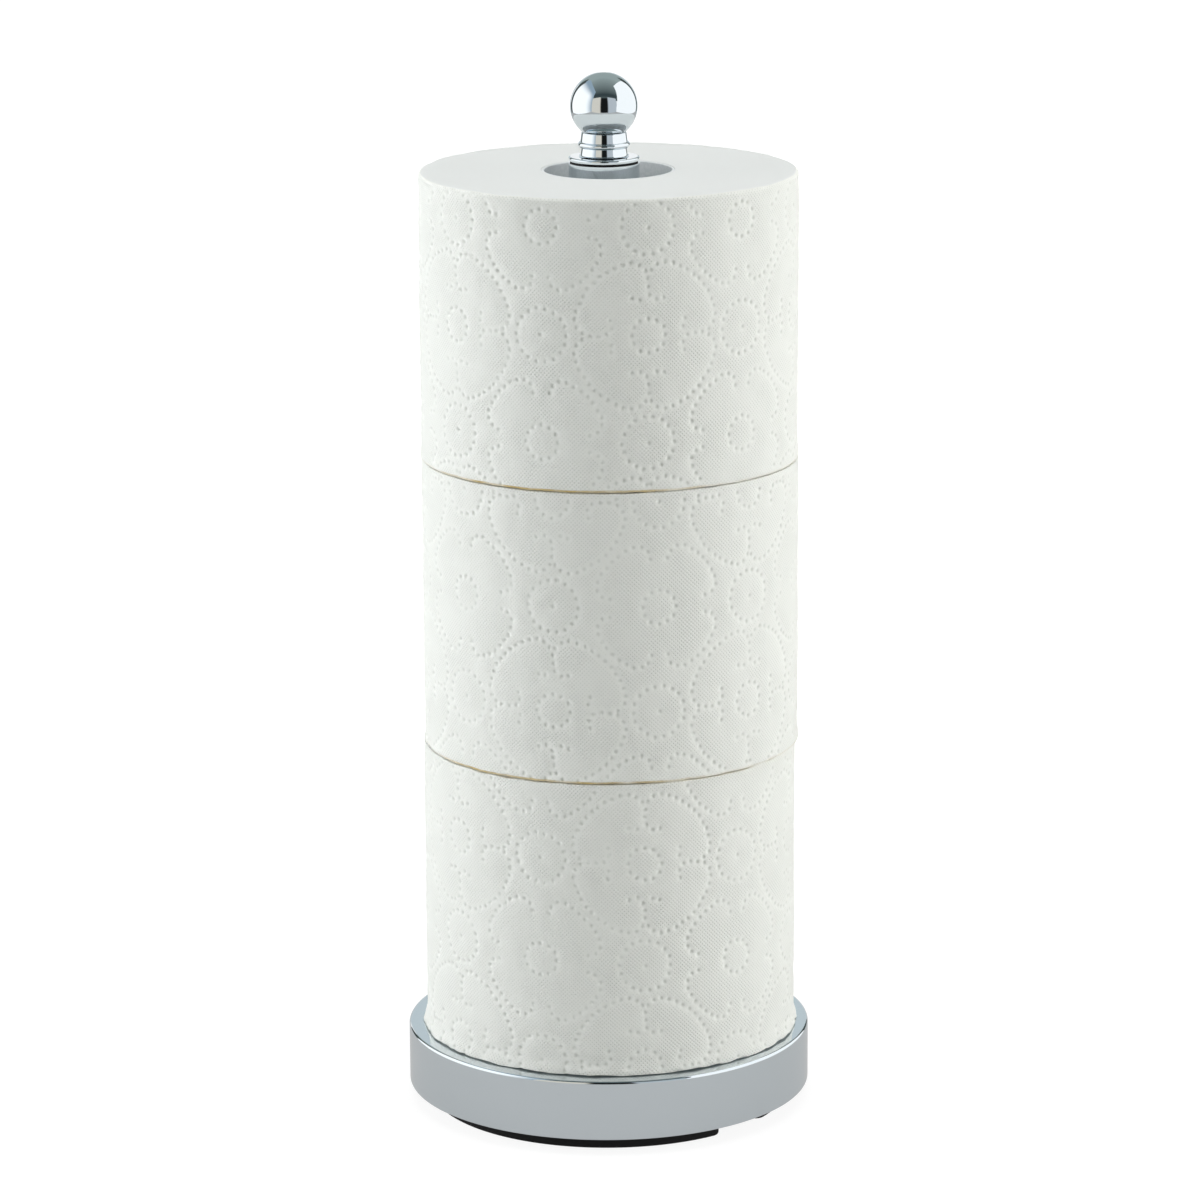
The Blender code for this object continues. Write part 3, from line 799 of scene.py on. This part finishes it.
dots_in = node(winding, "GeometryNodeObjectInfo", [given["Dots"]]).outputs["Geometry"]
near_in = {"Geometry": dots_in, "Sample Position": flat_place}
near = node(winding, "GeometryNodeProximity", near_in, target_element="POINTS").outputs
press = node(winding, NOISE, [near["Position"], given["Seed"], 1 / PRESS_PATCH, 1.0], noise_dimensions="4D")
press = node(winding, RANGE, [press, *PRESS_STRENGTH], **SMOOTH)
dent = [near["Distance"], given["Pin tip"], given["Dot width"], given["Dot depth"], 0.0]
dent = node(winding, RANGE, dent, **SMOOTH)
sink = [near["Distance"], 0.0, PILLOW_WIDTH, given["Quilting"], 0.0]
sink = node(winding, RANGE, sink, **SMOOTH)
pressed = node(winding, MATHS, [dent, sink], operation="ADD")
for share in (press, side):
    pressed = node(winding, MATHS, [pressed, share], operation="MULTIPLY")
print("dots pressed in")

# %% [markdown]
# ## Winding it up
#
# The sheet gains one thickness a turn, so the outside is a spiral, and the loose end stands one step proud.
# The share of that step shrinks towards the bore.

# %% The spiral
turned_by = node(winding, RANGE, [along, 0.0, given["Length"], given["Step width"], math.tau])
angle = node(winding, MATHS, [turned_by, given["Loose end"]], operation="ADD")
out_share = node(winding, RANGE, [profile_at["X"], given["Bore"], given["Radius"], 0.0, 1.0])
step_left = node(winding, RANGE, [turned_by, 0.0, math.tau, given["Sheet step"], 0.0])
step_left = node(winding, MATHS, [step_left, out_share], operation="MULTIPLY")
spiral = node(winding, MATHS, [profile_at["X"], step_left], operation="SUBTRACT")
print("wound into a spiral")

# %% [markdown]
# ## Softness
#
# Soft paper is never quite round. Slow noises in the finished roll's own space let the side swell,
# push out a lip round the lower end where the saw has dragged the outer layers, and let the sawn ends sag,
# always towards the roll's middle, so that two rolls never cut into each other.

# %% Swell, lip and sag
SWELL_WIDTH = 38 * MM
SAG_WIDTH = 9 * MM
LIP_HEIGHT = 4.5 * MM
SAG_HEIGHT = 2.5 * MM
SAG_POWER = 6.0

here = node(winding, "ShaderNodeVectorRotate", {"Vector": profile, "Angle": angle}, rotation_type="Z_AXIS")
wide = node(winding, NOISE, [here, given["Seed"], 1 / SWELL_WIDTH, 1.0], noise_dimensions="4D")
fine = node(winding, NOISE, [here, given["Seed"], 1 / SAG_WIDTH, 2.0], noise_dimensions="4D").outputs["Color"]
fine = node(winding, SPLIT, [fine]).outputs
swell = node(winding, RANGE, [wide, 0.2, 0.8, -1.0, 1.0])
swell = node(winding, MATHS, [swell, out_share], operation="MULTIPLY")
outwards = node(winding, MATHS, [swell, given["Softness"], spiral], operation="MULTIPLY_ADD")
lip = node(winding, RANGE, [profile_at["Z"], 0.0, LIP_HEIGHT, given["Lip"], 0.0], **SMOOTH)
lip = node(winding, MATHS, [lip, fine["X"]], operation="MULTIPLY")
outwards = node(winding, MATHS, [lip, side, outwards], operation="MULTIPLY_ADD")
outwards = node(winding, MATHS, [outwards, pressed], operation="SUBTRACT")

half = node(winding, MATHS, [given["Height"], 0.5], operation="MULTIPLY")
to_end = node(winding, MATHS, [profile_at["Z"], half], operation="PINGPONG")
sag = node(winding, RANGE, [to_end, 0.0, SAG_HEIGHT, 1.0, 0.0], **SMOOTH)
uneven = node(winding, RANGE, [fine["Y"], 0.4, 0.7, 0.0, 1.0])
near_rim = node(winding, MATHS, [out_share, SAG_POWER], operation="POWER")
for share in (uneven, near_rim, given["Softness"]):
    sag = node(winding, MATHS, [sag, share], operation="MULTIPLY")
to_middle = node(winding, MATHS, [half, profile_at["Z"]], operation="SUBTRACT")
to_middle = node(winding, MATHS, [to_middle], operation="SIGN")
up = node(winding, MATHS, [sag, to_middle, profile_at["Z"]], operation="MULTIPLY_ADD")
print("softened")

# %% [markdown]
# ## Placing, closing and painting
#
# The polar place of each point becomes a real one, doubled points along the loose end and the bore are merged,
# and the faces take the tissue or the sawn-end material by the side number. The sheet's flat coordinates
# and the distance to the nearest dot are stored for the materials.

# %% The tree's last nodes
SEAM_MERGE = 0.003 * MM
SIDE_FROM = 0.3

final = {"Vector": node(winding, JOIN, [outwards, 0.0, up]), "Angle": angle}
final = node(winding, "ShaderNodeVectorRotate", final, rotation_type="Z_AXIS")
final = node(winding, VECTORS, [final, given["Place"]], operation="ADD")
sheet_place = node(winding, JOIN, [along, profile_at["Z"], profile_at["X"]])
wound = given["Flat sheet"]
STORED = {"sheet": ("FLOAT_VECTOR", sheet_place), "side": ("FLOAT", side), "to_dot": ("FLOAT", near["Distance"])}
for name, (kind, value) in STORED.items():
    store = {"Geometry": wound, "Name": name, "Value": value}
    wound = node(winding, "GeometryNodeStoreNamedAttribute", store, data_type=kind, domain="POINT")
wound = node(winding, "GeometryNodeSetPosition", {"Geometry": wound, "Position": final})
wound = node(winding, "GeometryNodeMergeByDistance", {"Geometry": wound, "Distance": SEAM_MERGE})
wound = node(winding, "GeometryNodeRealizeInstances", [wound])
wound = node(winding, "GeometryNodeSetMaterial", {"Geometry": wound, "Material": given["End material"]})
side_here = node(winding, "GeometryNodeInputNamedAttribute", ["side"], data_type="FLOAT")
outside = node(winding, MATHS, [side_here, SIDE_FROM], operation="GREATER_THAN")
outside = {"Geometry": wound, "Selection": outside, "Material": given["Side material"]}
node(winding, "NodeGroupOutput", [node(winding, "GeometryNodeSetMaterial", outside)])
print(f"the winding tree has {len(winding.nodes)} nodes")

# %% [markdown]
# ## The three rolls
#
# The tree runs once for each roll. Its result is copied out as a plain mesh, and the tree is taken off again,
# because a finished piece is a mesh with its place in its points.

# %% Rolls
DOT_DEPTH, DOT_WIDTH, PIN_TIP = 0.40 * MM, 1.00 * MM, 0.08 * MM
QUILTING = 0.20 * MM
SOFTNESS = {"lower": 0.40 * MM, "middle": 0.30 * MM, "upper": 0.28 * MM}
LIPS = {"lower": 2.0 * MM, "middle": 0.5 * MM, "upper": 0.5 * MM}
SHEET_STEP = 0.5 * MM
LOOSE_END_SHARP = math.radians(75)

socket_ids = {item.name: item.identifier for item in winding.interface.items_tree if item.in_out == "INPUT"}
for number, roll in enumerate(ROLLS):
    blank, dots = sheets[roll]
    values = {
        "Section": sections[roll],
        "Dots": dots,
        "Length": sheet_length,
        "Radius": PAPER_RADIUS,
        "Height": heights[roll],
        "Bore": PAPER_BORE,
        "Sheet step": SHEET_STEP,
        "Step width": STEP_WIDTH / PAPER_RADIUS,
        "Loose end": math.radians(LOOSE_END[roll]),
        "Dot depth": DOT_DEPTH,
        "Pin tip": PIN_TIP,
        "Dot width": DOT_WIDTH,
        "Quilting": QUILTING,
        "Softness": SOFTNESS[roll],
        "Lip": LIPS[roll],
        "Place": turning[f"{roll}_roll_turn"]["pos_m"],
        "Seed": float(number),
        "Side material": tissue,
        "End material": sawn,
    }
    bpy.context.scene.collection.objects.link(blank)
    modifier = blank.modifiers.new("winding", "NODES")
    modifier.node_group = winding
    for name, value in values.items():
        modifier[socket_ids[name]] = value
    mesh = bpy.data.meshes.new_from_object(blank.evaluated_get(bpy.context.evaluated_depsgraph_get()))
    mesh.name = f"{roll}_tissue_winding"
    bpy.data.objects.remove(blank)
    mesh.shade_smooth()
    mesh.set_sharp_from_angle(angle=LOOSE_END_SHARP)
    dressed(mesh, f"{roll}_paper", f"{roll}_roll_paper")

# %% [markdown]
# ## What stays from the frame
#
# The weight, the cover, the bolt and its washers, the plugs and the stud have the right shape already.
# They only get their finish.

# %% Finishes for the frame's own nodes
KEPT = {
    "base_weight": "sand_cast_iron",
    "bottom_cover": "spark_textured_black_abs",
    "bolt_washer": "zinc_plated_steel",
    "spring_washer": "zinc_plated_steel",
    "base_bolt": "zinc_plated_steel",
    "post_lower_plug": "zinc_plated_steel",
    "post_upper_plug": "zinc_plated_steel",
    "finial_stud": "zinc_plated_steel",
}
for name, finish_name in KEPT.items():
    for slot in frame["nodes"][name].material_slots:
        slot.material = plain[finish_name]
print("finished:", ", ".join(KEPT))

# %% [markdown]
# ## The floor and the white background
#
# The background is pure white in the photograph, and so is the floor. Both give white to the camera. Mirrors
# see the world white too, and the floor darker. The floor mixes in some plain diffuse, so that the stand's
# shadow still falls on it, and it glows a little more away from the stand, so that it runs into the
# background without a line.


# %% Floor and world
def flat_card(name, corners, material, reflections_only=True):
    """A four-cornered stage card. One for reflections only is seen by mirrors and by nothing else."""
    mesh = bpy.data.meshes.new(name)
    mesh.from_pydata(corners, [], [(0, 1, 2, 3)])
    mesh.materials.append(material)
    card = bpy.data.objects.new(name, mesh)
    bpy.context.scene.collection.objects.link(card)
    if reflections_only:
        card.visible_camera = card.visible_diffuse = card.visible_transmission = False
        card.visible_shadow = card.visible_volume_scatter = False
    return card


def bare_tree(holder):
    """The emptied node tree of a stage material or of the world."""
    holder.use_nodes = True
    holder.node_tree.nodes.clear()
    return holder.node_tree


def ray_kinds(tree):
    """Three outputs: is the ray from the camera, is it mirrored or bent, and is it either."""
    rays = node(tree, "ShaderNodeLightPath").outputs
    mirrored = node(tree, MATHS, [rays["Is Glossy Ray"], rays["Is Transmission Ray"]], operation="MAXIMUM")
    seen = node(tree, MATHS, [mirrored, rays["Is Camera Ray"]], operation="ADD")
    return rays["Is Camera Ray"], mirrored, seen


FLOOR_SIZE = 8.0
FLOOR_GREY, FLOOR_GREY_SEEN = 0.72, 0.16
GLOW_NEAR, GLOW_FAR, GLOW_MIRRORS = 0.90, 1.05, 0.41
GLOW_START, GLOW_END = 0.10, 0.60
FILL_LIGHT, FILL_COLOUR = 0.31, "#F4F8F4"

floor_paint = bpy.data.materials.new("white_paper_sweep")
tree = bare_tree(floor_paint)
from_camera, mirrored, seen = ray_kinds(tree)
away = node(tree, VECTORS, [node(tree, COORDINATES).outputs["Object"]], operation="LENGTH")
to_camera = [away, GLOW_START, GLOW_END, GLOW_NEAR, GLOW_FAR]
to_camera = node(tree, RANGE, to_camera, **SMOOTH)
to_camera = node(tree, MATHS, [to_camera, from_camera], operation="MULTIPLY")
strength = node(tree, MATHS, [mirrored, GLOW_MIRRORS, to_camera], operation="MULTIPLY_ADD")
grey = node(tree, RANGE, [seen, 0.0, 1.0, FLOOR_GREY, FLOOR_GREY_SEEN])
glow = node(tree, "ShaderNodeEmission", [linear("#FFFFFF"), strength])
both = node(tree, "ShaderNodeAddShader", [glow, node(tree, "ShaderNodeBsdfDiffuse", [grey])])
node(tree, "ShaderNodeOutputMaterial", [both])
far = FLOOR_SIZE / 2
flat_card("floor", [(-far, -far, 0), (far, -far, 0), (far, far, 0), (-far, far, 0)], floor_paint, False)

world = bpy.data.worlds.new("studio")
bpy.context.scene.world = world
tree = bare_tree(world)
_, _, seen = ray_kinds(tree)
strength = node(tree, RANGE, [seen, 0.0, 1.0, FILL_LIGHT, 1.0])
colour = node(tree, MIX, [seen, linear(FILL_COLOUR), linear("#FFFFFF")], data_type="RGBA")
sky = node(tree, "ShaderNodeBackground", [colour, strength])
node(tree, "ShaderNodeOutputWorld", [sky])
print("floor and world are white to the camera")

# %% [markdown]
# ## Lights, and what the chrome sees
#
# Two low, broad softboxes stand left and right, so the rolls are bright at both edges and quieter in the
# middle, and a square one hangs overhead. A chrome ball shows its whole studio: the two boxes, a dark ceiling,
# and in front a warm and a cool panel with a dark slot between them, where the camera looks through.
# So the lamps aren't seen in mirrors, and cards stand in for them that are seen by mirrors only.

# %% Softboxes
BOX_AWAY = 0.8
BOX_LEVELS = (0.10, 0.50)
BOXES = {"left": (-1, -0.50, 0.30, 4.8, "#FAFCFF"), "right": (1, -0.50, 0.12, 4.1, "#FFFFFF")}
TOP_SIZE, TOP_HEIGHT, TOP_POWER = 1.0, 1.3, 7.8


def area_lamp(name, place, turn, size, power, colour):
    """A rectangular lamp that lights the object but isn't itself seen in the chrome."""
    lamp = bpy.data.lights.new(name, "AREA")
    lamp.shape, lamp.energy = "RECTANGLE", power
    lamp.size, lamp.size_y = size
    lamp.color = linear(colour)[:3]
    softbox = bpy.data.objects.new(name, lamp)
    softbox.location, softbox.rotation_euler = place, turn
    softbox.visible_glossy = False
    bpy.context.scene.collection.objects.link(softbox)
    print(f"{name}: {lamp.size:.2f} by {lamp.size_y:.2f} m, {power} W")


for name, (hand, front, back, power, colour) in BOXES.items():
    place = (hand * BOX_AWAY, (front + back) / 2, sum(BOX_LEVELS) / 2)
    size = (back - front, BOX_LEVELS[1] - BOX_LEVELS[0])
    area_lamp(f"softbox_{name}", place, (math.pi / 2, 0, hand * math.pi / 2), size, power, colour)
area_lamp("softbox_top", (0, 0, TOP_HEIGHT), (0, 0, 0), (TOP_SIZE, TOP_SIZE), TOP_POWER, "#FFFFFF")

# %% [markdown]
# The cards: each is a rectangle that glows in one colour. The left softbox fades out over its front end and
# its top, the right one is hard-edged. The warm and the cool panel stand either side of the dark slot.
# A dull blue wall is behind the left box. At the back two pale cards brighten the base's top, and two dark flags
# give the chrome its outline.

# %% Cards for the reflections
# colour, level, fades at (start, end, foot, top), corner, along, up
HARD = (0, 0, 0, 0)
CARDS = {
    "box_left": ("#FFFFFF", 1.3, (0.80, 0.10, 0, 0.70), (-0.93, -1.15, 0.0), (0, 2.15, 0), (0, 0, 1.60)),
    "box_right": ("#FFFFFF", 1.2, HARD, (0.93, -1.12, 0.05), (0, 2.00, -1.05), (0, 0.98, 2.15)),
    "warm_panel": ("#E6DFD3", 1.0, (0, 0.10, 0, 0), (-0.90, -1.00, 0.0), (0.74, 0, 0), (0, 0, 1.06)),
    "cool_panel": ("#C6CCD2", 1.0, (0.10, 0, 0, 0), (0.21, -1.00, 0.0), (0.79, 0, 0), (0, 0, 1.06)),
    "slot": ("#1A1C1C", 1.0, HARD, (-0.90, -1.12, 0.0), (1.80, 0, 0), (0, 0, 1.06)),
    "wall_left": ("#9DB0BF", 1.0, HARD, (-1.10, -1.25, 0.0), (0, 2.65, 0), (0, 0, 2.40)),
    "back_left": ("#CCD6DA", 1.0, HARD, (-0.60, 1.35, 0.0), (0.53, 0, 0), (0, 0, 0.75)),
    "back_right": ("#CCD6DA", 1.0, HARD, (0.07, 1.35, 0.0), (0.53, 0, 0), (0, 0, 0.75)),
    "flag_left": ("#4A5250", 1.0, HARD, (-1.05, 0.95, 0.0), (0.40, 0.20, 0), (0, 0, 1.40)),
    "flag_right": ("#4A5250", 1.0, HARD, (0.95, 1.25, 0.0), (-0.35, 0.15, 0), (0, 0, 1.40)),
}
for name, (colour, level, fades, corner, along, up) in CARDS.items():
    corner, along, up = Vector(corner), Vector(along), Vector(up)
    paint = bpy.data.materials.new(f"card_{name}")
    tree = bare_tree(paint)
    glow = node(tree, "ShaderNodeEmission", [linear(colour), level])
    place = node(tree, SPLIT, [node(tree, COORDINATES).outputs["UV"]]).outputs
    edges = (("X", 0, along), ("X", 1, along), ("Y", 0, up), ("Y", 1, up))
    for fade, (axis, edge, length) in zip(fades, edges):
        if fade:
            inside = edge + (1 - 2 * edge) * fade / length.length
            share = node(tree, RANGE, [place[axis], edge, inside, 0.0, 1.0], **SMOOTH)
            glow = node(tree, "ShaderNodeMixShader", [share, node(tree, "ShaderNodeBsdfTransparent"), glow])
    node(tree, "ShaderNodeOutputMaterial", [glow])
    card = flat_card(f"card_{name}", [corner, corner + along, corner + along + up, corner + up], paint)
    flat = card.data.uv_layers.new(name="flat")
    flat.data.foreach_set("uv", (0, 0, 1, 0, 1, 1, 0, 1))
print("cards:", ", ".join(CARDS))

# %% [markdown]
# The ceiling is one more card, dark over the camera and lighter towards the back. A wall leans down from it
# in front and another hangs at the back, over what the other cards cover.

# %% Ceiling
CEILING_HEIGHT = 2.5
CEILING_REACH = 3.2
DARK_AT, LIGHT_AT = -2.0, 1.2
WALL_AT, WALL_FOOT, WALL_LEAN = -1.4, 1.06, 0.8
BACK_AT, BACK_FOOT = 2.3, 1.0
CEILING_DARK, CEILING_LIGHT = "#3C4749", "#A3AFAD"

paint = bpy.data.materials.new("card_ceiling")
tree = bare_tree(paint)
depth = node(tree, SPLIT, [node(tree, COORDINATES).outputs["Object"]]).outputs["Y"]
share = node(tree, RANGE, [depth, DARK_AT, LIGHT_AT, 0.0, 1.0])
tones = node(tree, MIX, [share, linear(CEILING_DARK), linear(CEILING_LIGHT)], data_type="RGBA")
node(tree, "ShaderNodeOutputMaterial", [node(tree, "ShaderNodeEmission", [tones])])
far, top = CEILING_REACH, CEILING_HEIGHT
# two edges of each, as (y, z)
SLABS = {
    "ceiling": ((-far, top), (far, top)),
    "front_wall": ((WALL_AT, WALL_FOOT), (WALL_AT - WALL_LEAN, top)),
    "back_wall": ((BACK_AT, BACK_FOOT), (BACK_AT, top)),
}
for name, (one, other) in SLABS.items():
    flat_card(f"card_{name}", [(-far, *one), (far, *one), (far, *other), (-far, *other)], paint)
print("over and round the cards:", ", ".join(SLABS))
